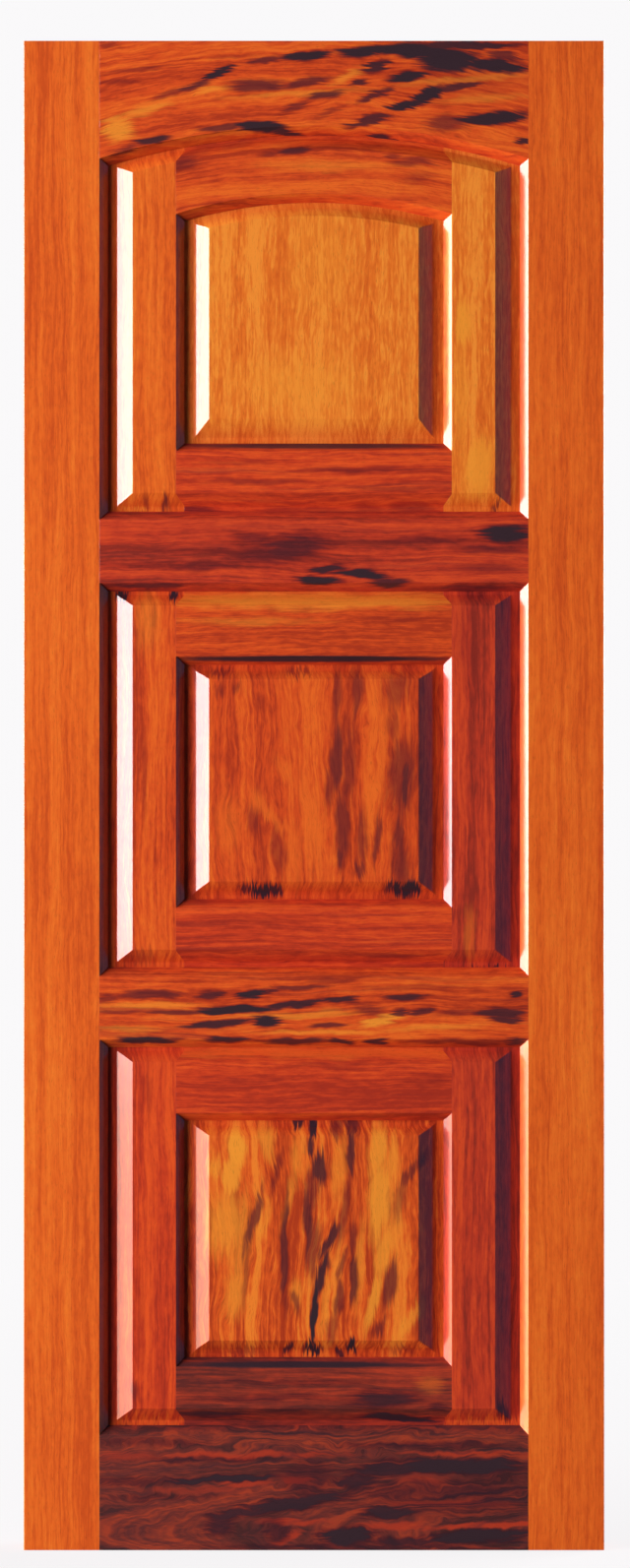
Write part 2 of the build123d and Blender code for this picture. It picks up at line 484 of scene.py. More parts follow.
BOARDS = {
    "left_stile": Board(True, ORANGE, 1.3, contrast=0.75, mottle=0.6, wander=0.004),
    "right_stile": Board(True, ORANGE, 4.7, contrast=0.6, mottle=0.6, wander=0.004),
    "top_rail": Board(
        False,
        RED_ORANGE,
        8.1,
        wave=5.0,
        wander=0.007,
        bow=0.4,
        dark=[
            Mark(176, 1956, 46, 17, 0, 1),
            Mark(240, 1948, 44, 10.5, -0.08, 1),
            Mark(128, 1969, 64, 10.5, 0, 1),
            Mark(69, 1967, 44, 7.5, 0.05, 1),
            Mark(-11, 1962, 39, 7.5, 0.08, 1),
            Mark(-66, 1956, 28, 4.5, 0.2, 0.8),
            Mark(195, 1975, 85, 5, 0, 0.95),
            Mark(249, 1961, 26, 6.5, -0.3, 0.8),
            Mark(81, 1947, 17, 7.5, 0.25, 0.95),
            Mark(124, 1934, 27, 7, 0.1, 1),
            Mark(61, 1926, 14, 5, 0.3, 0.9),
            Mark(81, 1911, 28, 5, 0.45, 0.85),
            Mark(119, 1896, 23, 6, 0.12, 1),
            Mark(149, 1909, 26, 9, 0.5, 1),
            Mark(189, 1921, 34, 4.5, 0.1, 0.9),
            Mark(234, 1880, 54, 9, 0.06, 1),
            Mark(177, 1873, 31, 10.5, 0, 0.7),
            Mark(71, 1876, 28, 6, 0.2, 0.9),
            Mark(97, 1854, 21, 5, -0.2, 0.95),
            Mark(137, 1843, 25, 5, -0.2, 0.95),
            Mark(273, 1850, 10, 6.5, 0, 0.95),
            Mark(-125, 1938, 25, 6.5, 0.5, 1),
            Mark(-156, 1921, 26, 4.5, 0.3, 0.85),
            Mark(-187, 1911, 26, 4, 0.2, 0.6),
            Mark(-73, 1922, 39, 9, 0.03, 0.8),
            Mark(-11, 1926, 36, 6.5, 0.2, 0.8),
            Mark(14, 1909, 26, 5, 0.15, 0.85),
            Mark(-24, 1895, 23, 4, 0.4, 0.7),
            Mark(21, 1887, 23, 4, 0.5, 0.55),
            Mark(-68, 1869, 39, 6.5, -0.03, 1),
            Mark(-35, 1861, 21, 5, -0.25, 0.95),
            Mark(-121, 1867, 34, 4.5, 0.1, 0.8),
            Mark(-210, 1851, 26, 6, 0.12, 0.95),
            Mark(-249, 1838, 21, 4, 0.4, 0.7),
            Mark(21, 1858, 28, 3, 0, 0.6),
            Mark(202, 1933, 90, 28.5, 0, 0.3),
            Mark(-231, 1943, 46, 3, 0.12, 0.5),
            Mark(-259, 1926, 34, 2.5, 0.05, 0.45),
            Mark(-267, 1975, 15, 4, 0, 0.5),
            Mark(-102, 1961, 34, 3, 0.1, 0.4),
        ],
        gold_and_highlights=[
            Mark(-257, 1865, 18, 15.5, 0.5, 0.75),
            Mark(-218, 1891, 28, 6.5, 0.3, 0.6),
            Mark(-134, 1916, 21, 4, 0.2, 0.55),
            Mark(43, 1934, 21, 5, 0.5, 0.5),
            Mark(195, 1930, 64, 4, 0.08, 0.5),
            Mark(-24, 1911, 77, 4, 0.05, 0.45),
            Mark(221, 1905, 52, 5, 0.05, 0.4),
        ],
    ),
    "upper_rail": Board(
        False,
        DARK_RED,
        12.4,
        threads=0.2,
        dark=[
            Mark(-24, 1317, 46, 17, 0.1, 0.75),
            Mark(-79, 1329, 23, 7.5, 0, 0.6),
            Mark(-57, 1306, 52, 15.5, 0, 0.6),
            Mark(14, 1289, 26, 5, 0.1, 0.95),
            Mark(4, 1273, 31, 6, 0, 1),
            Mark(63, 1282, 39, 6, -0.05, 1),
            Mark(98, 1272, 26, 6, 0, 0.9),
            Mark(249, 1334, 34, 11.5, 0, 1),
            Mark(240, 1312, 44, 6.5, 0, 0.6),
            Mark(143, 1326, 64, 5, 0, 0.5),
            Mark(-141, 1291, 44, 6.5, 0.1, 0.55),
            Mark(-218, 1267, 52, 4, 0, 0.8),
            Mark(234, 1289, 44, 6.5, 0, 0.5),
            Mark(208, 1263, 64, 5, 0, 0.6),
            Mark(-134, 1312, 77, 4, 0, 0.35),
            Mark(-205, 1293, 64, 4, 0, 0.35),
        ],
    ),
    "lower_rail": Board(
        False,
        RED_ORANGE,
        15.9,
        threads=0.3,
        dark=[
            Mark(-102, 710, 57, 6.5, 0.02, 1),
            Mark(-22, 716, 44, 4.5, 0.06, 0.95),
            Mark(35, 720, 26, 4.5, 0.1, 0.95),
            Mark(-179, 706, 39, 3, 0, 0.75),
            Mark(-250, 705, 34, 3, 0, 0.6),
            Mark(-81, 730, 19, 7, 0.1, 1),
            Mark(-135, 729, 21, 5, 0, 0.85),
            Mark(-22, 739, 41, 4, 0.08, 0.75),
            Mark(-55, 734, 15, 4, 0.3, 0.8),
            Mark(-218, 730, 52, 5, 0, 0.75),
            Mark(-272, 726, 15, 6.5, 0.3, 0.6),
            Mark(-61, 694, 22, 8.5, 0, 1),
            Mark(-125, 690, 54, 5, 0.05, 0.95),
            # The next seven marks are painted shadow along the moulding at the rail's lower edge
            Mark(-115, 670, 31, 5, 0, 0.95),
            Mark(-24, 668, 49, 4.5, 0, 0.9),
            Mark(35, 668, 21, 4.5, 0, 0.95),
            Mark(83, 668, 15, 5, 0, 0.95),
            Mark(-221, 670, 44, 6, 0, 1),
            Mark(195, 667, 77, 4, 0, 0.6),
            Mark(266, 667, 13, 5, 0, 0.9),
            Mark(124, 725, 28, 4.5, 0, 0.9),
            Mark(141, 708, 18, 5, 0.2, 0.85),
            Mark(112, 706, 12, 5, 0, 0.85),
            Mark(247, 706, 35, 7.5, 0, 0.9),
            Mark(252, 697, 23, 5, 0, 0.9),
            Mark(266, 729, 9, 5, 0, 0.95),
            Mark(193, 708, 41, 4, 0.1, 0.55),
            Mark(72, 708, 21, 9, -0.3, 0.6),
            Mark(18, 689, 23, 4, 0, 0.8),
            Mark(27, 748, 39, 4, 0.05, 0.5),
            Mark(143, 739, 77, 4, 0, 0.4),
        ],
        gold_and_highlights=[
            Mark(87, 694, 23, 6.5, 0.3, 0.85),
            Mark(156, 685, 52, 4, 0.05, 0.5),
            Mark(1, 680, 77, 2.5, 0, 0.5),
            Mark(-218, 715, 64, 4, 0, 0.5),
            Mark(-24, 703, 77, 4, 0.05, 0.5),
            Mark(-244, 684, 39, 4, 0, 0.4),
        ],
    ),
    "bottom_rail": Board(
        False,
        MAROON,
        19.2,
        wave=7.0,
        wander=0.012,
        threads=0.7,
        rings=230.0,
        heart=(-0.055, 0.033, -0.09),
        glow=DEEP_RED,
        dark=[
            Mark(193, 111, 93, 11.5, 0, 1),
            Mark(98, 106, 57, 10.5, 0.1, 0.9),
            Mark(56, 90, 28, 11.5, 0, 0.85),
            Mark(169, 78, 123, 11.5, 0, 0.6),
            Mark(-9, 94, 34, 23, 0, 0.6),
            Mark(-24, 63, 77, 9, 0.12, 0.95),
            Mark(-92, 49, 41, 6.5, 0.1, 0.9),
            Mark(98, 49, 39, 7.5, 0, 0.95),
            Mark(43, 18, 39, 11.5, 0, 1),
            Mark(215, 18, 72, 9, 0.05, 1),
            Mark(124, 12, 44, 6.5, 0, 0.85),
            Mark(-123, 32, 18, 11.5, 0, 0.8),
            Mark(-50, 25, 15, 15.5, 0, 0.7),
            Mark(-121, 94, 80, 4.5, 0.03, 1),
            Mark(-134, 119, 77, 4, 0, 0.55),
            Mark(156, 138, 103, 5, 0, 0.6),
            Mark(-218, 141, 64, 5, 0, 0.5),
            Mark(79, 4, 194, 4, 0, 0.7),
            Mark(-244, 90, 52, 5, 0, 0.5),
            Mark(-192, 69, 77, 4, 0, 0.4),
            Mark(176, 65, 110, 20.5, 0, 0.45),
            Mark(240, 97, 44, 26, 0, 0.4),
        ],
        gold_and_highlights=[
            Mark(-24, 92, 18, 4, 0, 0.8),
            Mark(-89, 87, 31, 4, 0, 0.7),
            Mark(234, 32, 77, 4, 0.04, 0.9),
            Mark(98, 32, 39, 5, 0, 0.7),
            Mark(-24, 37, 46, 4, 0, 0.7),
            Mark(-89, 125, 116, 4, 0, 0.7),
            Mark(195, 127, 77, 3, 0, 0.7),
            Mark(169, 62, 77, 3, 0, 0.5),
            Mark(143, 93, 31, 5, 0, 0.4),
            Mark(-37, 16, 18, 5, 0.6, 0.7),
            Mark(-244, 123, 39, 5, 0, 0.5),
            Mark(-154, 79, 77, 4, 0, 0.4),
        ],
    ),
    "upper_inner_left_stile": Board(
        True,
        ORANGE,
        23.5,
        contrast=0.75,
        dark=[
            Mark(-225, 1355, 4, 18, 0, 0.85),
            Mark(-196, 1373, 10, 5, 0, 0.75),
            Mark(-221, 1378, 10, 4, 0, 0.5),
        ],
        gold_and_highlights=[
            # This mark is a painted highlight: a bright line along the flat at the frame's bottom
            Mark(-228, 1365, 3, 31, 0, 0.6),
        ],
    ),
    "upper_inner_right_stile": Board(
        True,
        GOLD,
        27.1,
        ripple=0.3,
        dark=[
            # This mark is painted shade at the foot of the dark right-hand bevel
            Mark(240, 1374, 6, 6.5, -0.4, 0.7),
        ],
        gold_and_highlights=[
            Mark(196, 1609, 28, 9, 0, 0.9),
            Mark(217, 1422, 39, 17, 0.1, 0.8),
            Mark(193, 1519, 77, 7.5, 0, 0.45),
            # This mark is a painted highlight: a bright line along the flat at the frame's bottom
            Mark(234, 1359, 4, 44, 0, 0.4),
        ],
    ),
    "upper_inner_top_rail": Board(
        False,
        RED_ORANGE,
        31.8,
        contrast=0.9,
        bow=0.5,
        dark=[
            Mark(-172, 1821, 23, 13, 0.5, 0.6),
            Mark(-147, 1840, 28, 9, 0.3, 0.45),
            Mark(-102, 1847, 36, 6.5, 0.2, 0.45),
            Mark(-28, 1837, 23, 6, 0.05, 0.85),
            Mark(-57, 1832, 13, 4, 0, 0.6),
            Mark(131, 1821, 28, 6.5, 0.05, 0.6),
            Mark(102, 1829, 10, 5, 0, 0.6),
            Mark(40, 1842, 52, 5, 0, 0.3),
            Mark(137, 1801, 21, 7.5, 0.1, 0.4),
        ],
        gold_and_highlights=[
            Mark(14, 1816, 64, 6.5, 0, 0.3),
        ],
    ),
    "upper_inner_bottom_rail": Board(
        False,
        RED,
        35.2,
        threads=0.35,
        # A painted shadow line along the moulding at this rail's top edge
        line=[
            Mark(-1, 1450, 181, 4, 0, 0.9),
        ],
        dark=[
            Mark(-76, 1403, 77, 4, 0, 0.5),
            Mark(53, 1418, 77, 3, 0.03, 0.45),
            Mark(-102, 1428, 52, 3, 0, 0.4),
            Mark(105, 1394, 52, 4, 0, 0.45),
            Mark(-154, 1365, 34, 6.5, -0.1, 0.6),
            Mark(-6, 1357, 15, 5, -0.1, 0.95),
            Mark(-24, 1365, 52, 5, 0, 0.4),
            Mark(131, 1369, 28, 9, 0, 0.5),
            Mark(72, 1369, 18, 5, 0, 0.4),
        ],
        gold_and_highlights=[
            # This mark is a painted highlight: a bright line along the flat at the frame's bottom
            Mark(14, 1350, 77, 3, 0, 0.5),
        ],
    ),
    "upper_centre_panel": Board(
        True,
        GOLD,
        39.6,
        contrast=0.7,
        ripple=0.3,
        gold_and_highlights=[
            Mark(-18, 1532, 34, 77.5, 0, 0.4),
            Mark(8, 1693, 64, 36, 0, 0.3),
        ],
    ),
    "middle_inner_left_stile": Board(
        True,
        RED_ORANGE,
        43.3,
        dark=[
            Mark(-253, 1253, 8, 7.5, 0, 1),
            Mark(-183, 1253, 9, 6.5, 0.4, 1),
            Mark(-223, 1015, 59, 4, 0, 0.35),
            Mark(-227, 776, 10, 19.5, 0, 0.45),
        ],
        gold_and_highlights=[
            Mark(-218, 1228, 39, 13, 0, 0.3),
        ],
    ),
    "middle_inner_right_stile": Board(
        True,
        DARK_RED,
        47.9,
        glow=FLAME,
        dark=[
            Mark(180, 836, 9, 6.5, 0, 0.5),
            Mark(195, 1196, 64, 15.5, 0, 0.25),
            Mark(231, 758, 5, 33.5, 0, 0.95),
            Mark(221, 1250, 8, 28.5, 0, 0.4),
        ],
        gold_and_highlights=[
            Mark(205, 808, 32, 6.5, 0, 0.45),
        ],
    ),
    "middle_inner_top_rail": Board(
        False,
        RED_ORANGE,
        51.4,
        contrast=0.7,
        # A painted shadow line along the moulding at this rail's lower edge
        line=[
            Mark(-1, 1170, 178, 4, 0, 1),
        ],
        dark=[
            Mark(105, 1222, 49, 7.5, 0, 0.3),
        ],
        gold_and_highlights=[
            # This mark is a painted highlight: a brighter strip along the bevel at the frame's top
            Mark(-11, 1247, 194, 10.5, 0, 0.6),
            Mark(-89, 1219, 77, 5, 0, 0.3),
        ],
    ),
    "middle_inner_bottom_rail": Board(
        False,
        RED,
        55.7,
        threads=0.2,
        dark=[
            Mark(105, 781, 59, 3, 0, 0.5),
            Mark(131, 767, 77, 3, 0, 0.4),
            Mark(-76, 827, 77, 4, 0, 0.3),
        ],
    ),
    "middle_centre_panel": Board(
        True,
        RED_ORANGE,
        59.2,
        wander=0.010,
        contrast=0.8,
        glow=FLAME,
        dark=[
            Mark(31, 1116, 46, 6.5, 0.05, 0.6),
            Mark(56, 1129, 34, 9, 0, 0.65),
            Mark(40, 1073, 28, 15.5, 0, 0.4),
            Mark(29, 1038, 52, 9, 0.05, 0.75),
            Mark(47, 1021, 57, 10.5, 0.08, 0.6),
            Mark(20, 1002, 31, 6.5, 0.1, 0.6),
            Mark(38, 950, 54, 10.5, 0, 0.7),
            Mark(34, 909, 21, 5, 0, 0.75),
            Mark(63, 937, 41, 7.5, 0, 0.6),
            Mark(83, 935, 34, 5, 0.1, 0.7),
            Mark(60, 896, 10, 7.5, 0, 0.7),
            Mark(107, 1129, 26, 17, 0.1, 0.55),
            Mark(105, 1082, 21, 9, 0, 0.5),
            Mark(115, 1012, 59, 20.5, 0.05, 0.65),
            Mark(120, 1002, 34, 6.5, 0, 0.85),
            Mark(111, 935, 31, 7.5, 0, 0.7),
            Mark(115, 898, 31, 15.5, 0, 0.65),
            Mark(-121, 1153, 5, 15.5, 0, 0.6),
            Mark(-24, 1153, 5, 20.5, 0, 0.6),
            Mark(-125, 1130, 9, 6.5, 0, 0.5),
            Mark(-102, 1134, 8, 7.5, 0, 0.5),
            Mark(-73, 1116, 10, 7.5, 0, 0.35),
            Mark(-79, 957, 21, 9, -0.3, 0.5),
            Mark(-46, 918, 34, 10.5, -0.1, 0.5),
            Mark(-89, 867, 6, 9, 0, 0.85),
            Mark(-77, 865, 9, 9, 0, 1),
            Mark(-63, 864, 10, 10.5, 0, 1),
            Mark(-49, 866, 8, 9, 0, 0.95),
            Mark(100, 870, 8, 7.5, 0, 0.9),
            Mark(110, 866, 12, 7.5, 0, 1),
            Mark(123, 866, 13, 9, 0, 1),
            Mark(134, 870, 10, 7.5, 0, 1),
        ],
        gold_and_highlights=[
            Mark(-9, 963, 58, 7.5, -0.1, 0.6),
            Mark(4, 937, 52, 7.5, -0.05, 0.6),
            Mark(-37, 1021, 21, 7.5, -0.6, 0.45),
            Mark(-73, 982, 15, 10.5, 0, 0.55),
            Mark(-55, 964, 34, 6.5, -0.9, 0.6),
            Mark(-112, 953, 34, 15.5, 0, 0.4),
            Mark(88, 1041, 77, 6.5, 0.15, 0.5),
            Mark(79, 1118, 32, 6.5, 0, 0.4),
            Mark(-24, 911, 39, 7.5, 0, 0.4),
        ],
    ),
    "lower_inner_left_stile": Board(
        True,
        RED,
        63.8,
        glow=FLAME,
        dark=[
            Mark(-236, 209, 15, 6.5, -0.2, 0.6),
            Mark(-218, 601, 26, 5, 0, 0.35),
            Mark(-228, 304, 64, 5, 0, 0.25),
        ],
        gold_and_highlights=[
            Mark(-218, 165, 6, 58, 0, 0.6),
        ],
    ),
    "lower_inner_right_stile": Board(
        True,
        DARK_RED,
        67.1,
        glow=FLAME,
        dark=[
            Mark(172, 207, 28, 4, 0, 0.6),
            Mark(249, 182, 15, 6.5, -0.5, 0.8),
        ],
        gold_and_highlights=[
            Mark(221, 165, 6, 58, 0, 0.6),
        ],
    ),
    "lower_inner_top_rail": Board(
        False,
        RED,
        71.5,
        threads=0.15,
        glow=FLAME,
        dark=[
            Mark(14, 636, 72, 4, 0, 0.35),
            Mark(150, 614, 21, 10.5, 0, 0.35),
        ],
        gold_and_highlights=[
            # This mark is a painted highlight: a brighter strip along the bevel at the frame's top
            Mark(1, 653, 258, 6.5, 0, 0.55),
        ],
    ),
    "lower_inner_bottom_rail": Board(
        False,
        WINE,
        75.9,
        threads=0.3,
        glow=FLAME,
        # A painted shadow line along the moulding at this rail's top edge
        line=[
            Mark(-24, 243, 152, 4, 0, 1),
        ],
        dark=[
            Mark(94, 198, 46, 11.5, 0, 0.85),
            Mark(111, 172, 52, 5, -0.05, 1),
            Mark(163, 187, 13, 6.5, 0, 0.7),
            Mark(-63, 200, 90, 4, 0, 0.5),
            Mark(-24, 220, 103, 3, 0, 0.4),
            Mark(-134, 177, 44, 5, 0, 0.8),
            Mark(-50, 182, 52, 4, 0, 0.5),
        ],
        gold_and_highlights=[
            Mark(153, 216, 15, 10.5, 0, 0.4),
        ],
    ),
    "lower_centre_panel": Board(
        True,
        AMBER,
        79.4,
        wander=0.010,
        contrast=1.2,
        dark=[
            Mark(-79, 433, 49, 6, 0.28, 0.75),
            Mark(-37, 394, 80, 5, 0, 0.8),
            Mark(-48, 495, 31, 4, 0.3, 0.55),
            Mark(-24, 322, 19, 4.5, -0.3, 0.65),
            Mark(-4, 558, 17, 7.5, 0, 1),
            Mark(-21, 562, 9, 7.5, 0, 0.95),
            Mark(-5, 529, 15, 6.5, 0, 0.9),
            Mark(8, 500, 23, 13, 0, 0.9),
            Mark(-2, 474, 28, 10.5, 0, 0.65),
            Mark(-8, 430, 54, 6, 0, 0.8),
            Mark(-1, 394, 36, 9, 0.1, 0.65),
            Mark(20, 405, 31, 7, 0.5, 0.9),
            Mark(9, 358, 34, 7.5, 0.3, 0.95),
            Mark(1, 310, 41, 5, 0.05, 1),
            Mark(49, 560, 17, 10.5, -0.2, 0.8),
            Mark(32, 555, 14, 7.5, 0, 0.65),
            Mark(49, 526, 31, 6, 0, 0.85),
            Mark(38, 443, 46, 6.5, 0.2, 0.6),
            Mark(49, 414, 23, 6.5, 0, 0.65),
            Mark(50, 355, 34, 6, 0, 0.8),
            Mark(30, 330, 23, 6.5, 0, 0.7),
            Mark(35, 375, 21, 4.5, 0.3, 0.65),
            Mark(25, 293, 26, 6.5, 0, 0.55),
            Mark(123, 493, 34, 6.5, 0.8, 0.7),
            Mark(111, 461, 31, 10.5, 0.2, 0.5),
            Mark(100, 348, 31, 7.5, 0.2, 0.75),
            Mark(85, 291, 18, 5, 0.6, 0.65),
            Mark(143, 317, 28, 6.5, 0.3, 0.4),
            Mark(-89, 368, 52, 4, 0.1, 0.45),
            Mark(-33, 264, 6, 7, 0, 0.9),
            Mark(-2, 264, 9, 12.5, 0, 1),
            Mark(34, 257, 8, 6.5, 0, 0.9),
            Mark(50, 264, 9, 7.5, -0.4, 1),
            Mark(-95, 260, 8, 28.5, 0, 0.5),
            Mark(118, 260, 5, 20.5, 0, 0.5),
        ],
        gold_and_highlights=[
            Mark(-102, 530, 31, 10.5, 0, 1),
            Mark(-108, 490, 23, 11.5, 0.1, 0.9),
            Mark(-128, 503, 15, 7.5, 0, 0.7),
            Mark(-115, 430, 44, 26, 0, 0.65),
            Mark(-94, 401, 41, 13, 0.2, 0.5),
            Mark(-104, 340, 34, 13, 0.1, 0.6),
            Mark(-64, 433, 23, 6.5, 0.2, 0.5),
            Mark(-63, 539, 26, 9, -0.3, 0.6),
            Mark(-24, 516, 26, 6.5, 0, 0.5),
            Mark(-33, 465, 39, 5, 0.15, 0.45),
            Mark(34, 498, 39, 7.5, 0.1, 0.4),
            Mark(83, 530, 39, 11.5, 0, 0.8),
            Mark(102, 511, 34, 7.5, 0.1, 0.6),
            Mark(87, 456, 57, 13, 0.08, 0.85),
            Mark(107, 443, 39, 6.5, 0.1, 0.5),
            Mark(93, 392, 36, 10.5, 0.2, 0.75),
            Mark(79, 327, 44, 7.5, 0.25, 0.8),
            Mark(60, 379, 54, 6.5, 0.1, 0.5),
            Mark(-24, 335, 19, 6.5, 0, 0.5),
            Mark(125, 301, 28, 7.5, 0.7, 0.6),
            Mark(14, 314, 34, 4, 0, 0.45),
        ],
    ),
}


# The noises that make the figure. DRIFT and WAVER count in the board's own waves, and
# BANDS in its own rings.
DRIFT = Noise(1.0, 3.0, 8.0, weight=5.0)
WAVER = Noise(6.0, 40.0, 40.0)
BANDS = Noise(1.0, 1.6, detail=4.0, roughness=0.6, weight=1.5)
LINES = Noise(260.0, 5.0, detail=3.0, roughness=0.6, weight=1.1)
MOTTLE = Noise(230.0, 45.0, 60.0, roughness=0.6)
FIBRE = Noise(1000.0, 16.0, 200.0, roughness=0.6, weight=0.6)
BROAD = Noise(2.5, 7.0, weight=0.5)
RIPPLE = Noise(330.0, 50.0, detail=1.0)
THREADS = Noise(150.0, 2.6, detail=3.0, roughness=0.6)
STRANDS = Noise(18.0, 210.0, detail=5.0, roughness=0.65)
RUN_OUT = Noise(6.0, 420.0, detail=3.0, roughness=0.6, weight=0.05)
EDGE_WAVER = Noise(26.0, 45.0, weight=0.012)
PORES = Noise(130.0, 1400.0, 1400.0, detail=1.0)
LINE_SEED_STEP = 3.0
THREAD_SEED_STEP = 5.0

# Where a noise starts to show and where it shows fully
RIPPLE_RANGE = (0.42, 0.75)
THREAD_RANGE = (0.52, 0.70)
PORE_RANGE = (0.6, 0.74)

# Places of a palette's three colours on its ramp
PALETTE_STOPS = (0.2, 0.5, 0.85)

# A weak mark has softer edges and is more broken up than a strong one
SOFTEST, SOFT_FALL = 0.95, 0.6
MOST_BROKEN, BROKEN_FALL = 2.4, 1.3
# The painted shadow lines in the mouldings are broken up less than the marks
SHADOW_LINE_BREAK_UP = 0.4

# Painted shade in the recesses: from the first of these distances from the leaf's middle
# down to the second, the colour loses these parts of red, green and blue
PAINTED_SHADE_DEPTHS = (0.0205, 0.0100)
PAINTED_SHADE_LOSS = (0.10, 0.32, 0.20)

# How fibres and pores change the roughness, and the bump that they make
FIBRE_ROUGHNESS = 0.2
PORE_ROUGHNESS = 0.2
FIBRE_HEIGHT = 0.4
PORE_HEIGHT = 0.6
BUMP_STRENGTH = 0.35
BUMP_DISTANCE = 0.0002


def timber(name, board, settings, varnish):
    """The material of one board: figure, marks, pores, and varnish over them all."""
    low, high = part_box(name)
    middle = (low + high) / 2
    paint, graph = new_paint(name + "_timber")
    x, y, z = graph.split(graph.point())
    seed = board.seed
    if board.upright:
        u, v = z - middle.z, x - middle.x
    else:
        u, v = x - middle.x, z - middle.z

    # The grain bows, and wanders sideways as it runs along the board
    near = WAVER.swing(graph, board.wander, u * board.wave, v, -seed, y)
    far = DRIFT.swing(graph, board.wander, u * board.wave, v * board.wave, seed, y)
    v = v + u * u * board.bow + far + near

    # Growth rings round a heart that may lean away from the face
    across, depth, lean = board.heart
    ring_v = v - across
    ring_y = y - u * lean - depth
    radius = (ring_v * ring_v + ring_y * ring_y) ** 0.5
    fibre = FIBRE.at(graph, radius, u, seed, y)
    tone = BANDS.swing(graph, board.contrast, radius * board.rings, u, seed)
    tone = tone + LINES.swing(graph, board.contrast, radius, u, seed + LINE_SEED_STEP)
    tone = tone + MOTTLE.swing(graph, board.mottle, v, u, seed, y)
    tone = tone + (fibre - MEAN) * FIBRE.weight + BROAD.swing(graph, 1.0, u, v, seed)
    if board.ripple:
        ripple = RIPPLE.at(graph, v, u, seed)
        tone = tone + graph.fade(ripple, *RIPPLE_RANGE) * board.ripple
    stops = list(zip(PALETTE_STOPS, board.colours))
    colour = graph.node("ShaderNodeValToRGB", {"stops": stops}, {0: tone + MEAN})

    # Dark threads, and the listed marks: their edges waver, and their ends run out along the
    # fibres, but the painted shadow lines in the mouldings stay straight
    strands = STRANDS.swing(graph, 1.0, u, v, seed)
    along = RUN_OUT.swing(graph, 1.0, u, v, seed)
    aside = EDGE_WAVER.swing(graph, 1.0, u, v, seed) + near
    shift_x, shift_z = (aside, along) if board.upright else (along, aside)
    place = graph.join(x + shift_x, 0.0, z + shift_z)
    # Golden marks: patches in the timber, and some painted highlights
    bright = marks_mask(graph, board.gold_and_highlights, board.upright, place, strands)
    if bright is not None:
        colour = graph.mix(bright, colour, board.glow)
    streak_and_shadow = tuple(settings.streak_and_shadow)
    if board.threads:
        thread = THREADS.at(graph, radius, u, seed + THREAD_SEED_STEP)
        colour = graph.mix(graph.fade(thread, *THREAD_RANGE) * board.threads, colour, streak_and_shadow)
    # Dark marks: streaks in the timber, and some painted shade
    dark = marks_mask(graph, board.dark, board.upright, place, strands)
    if dark is not None:
        colour = graph.mix(dark, colour, STAIN_AND_SHADE, "MULTIPLY")
        colour = graph.mix(dark * dark, colour, streak_and_shadow)
    # Painted shadow lines along the mouldings, straight and in the streak colour
    straight = graph.join(x, 0.0, z)
    line = marks_mask(graph, board.line, board.upright, straight, strands * SHADOW_LINE_BREAK_UP)
    if line is not None:
        colour = graph.mix(line, colour, streak_and_shadow)

    # Pores, and painted shade that darkens the recesses
    pore = graph.fade(PORES.at(graph, u, v, 0.0, y), *PORE_RANGE)
    # Painted shade: the deeper a point lies, the darker its colour
    painted_recess_shade = graph.fade(abs(y), *PAINTED_SHADE_DEPTHS)
    shade = 1.0 - pore * settings.pore
    parts = {channel: shade - painted_recess_shade * loss for channel, loss in enumerate(PAINTED_SHADE_LOSS)}
    shade = graph.node("ShaderNodeCombineColor", {}, parts)
    colour = graph.mix(1.0, colour, shade, "MULTIPLY")

    roughness = (fibre - MEAN) * FIBRE_ROUGHNESS + pore * PORE_ROUGHNESS + varnish.under_roughness
    height = fibre * FIBRE_HEIGHT - pore * PORE_HEIGHT
    grain = {"Strength": BUMP_STRENGTH, "Distance": BUMP_DISTANCE, "Height": height}
    bump = graph.node("ShaderNodeBump", {}, grain)
    sockets = {"Base Color": colour, "Roughness": roughness, "Normal": bump}
    graph.finish(sockets, varnish.coat, varnish.coat_roughness)
    return paint


def marks_mask(graph, marks, upright, place, strands):
    """How strongly any of the marks shows at each point, or None if there are none."""
    total = None
    for mark in marks:
        turn = math.atan(mark.slope)
        sockets = {
            "Vector": place,
            "Location": (mark.x, 0.0, mark.z),
            "Rotation": (0.0, turn if upright else -turn, 0.0),
            "Scale": (mark.width, 1.0, mark.length) if upright else (mark.length, 1.0, mark.width),
        }
        local = graph.node("ShaderNodeMapping", {"vector_type": "TEXTURE"}, sockets)
        reach = graph.node("ShaderNodeVectorMath", {"operation": "LENGTH"}, {0: local}, "Value")
        soft = SOFTEST - SOFT_FALL * mark.strength
        reach = reach + strands * (MOST_BROKEN - BROKEN_FALL * mark.strength)
        mask = graph.fade(reach, 1.0 + soft, 1.0 - soft) * mark.strength
        total = mask if total is None else total.larger(mask)
    return total


# Meshes


def eased_board(name, settings):
    """The board's own solid with its sharp edges eased and a hollow at the bevels' feet."""
    solid = bmesh.new()
    solid.from_mesh(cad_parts[name].data)
    bmesh.ops.remove_doubles(solid, verts=solid.verts, dist=MERGE)
    bmesh.ops.dissolve_limit(solid, angle_limit=FLAT, verts=solid.verts, edges=solid.edges)
    hollows = [
        edge for edge in solid.edges
        if SHARP < edge.calc_face_angle() < STEEP and not edge.is_convex
    ]
    round_edges(solid, hollows, settings.hollow, HOLLOW_SEGMENTS)
    sharp = [edge for edge in solid.edges if edge.calc_face_angle() > SHARP]
    round_edges(solid, sharp, settings.ease, EASE_SEGMENTS)
    mesh = bpy.data.meshes.new(name + "_eased")
    solid.to_mesh(mesh)
    solid.free()
    mesh.shade_smooth()
    mesh.set_sharp_from_angle(angle=ROUND)
    board = bpy.data.objects.new(name + "_board", mesh)
    bpy.context.scene.collection.objects.link(board)
    normals = board.modifiers.new("flat_faces_stay_flat", "WEIGHTED_NORMAL")
    normals.keep_sharp = True
    normals.weight = LARGE_FACES_FIRST
    return board


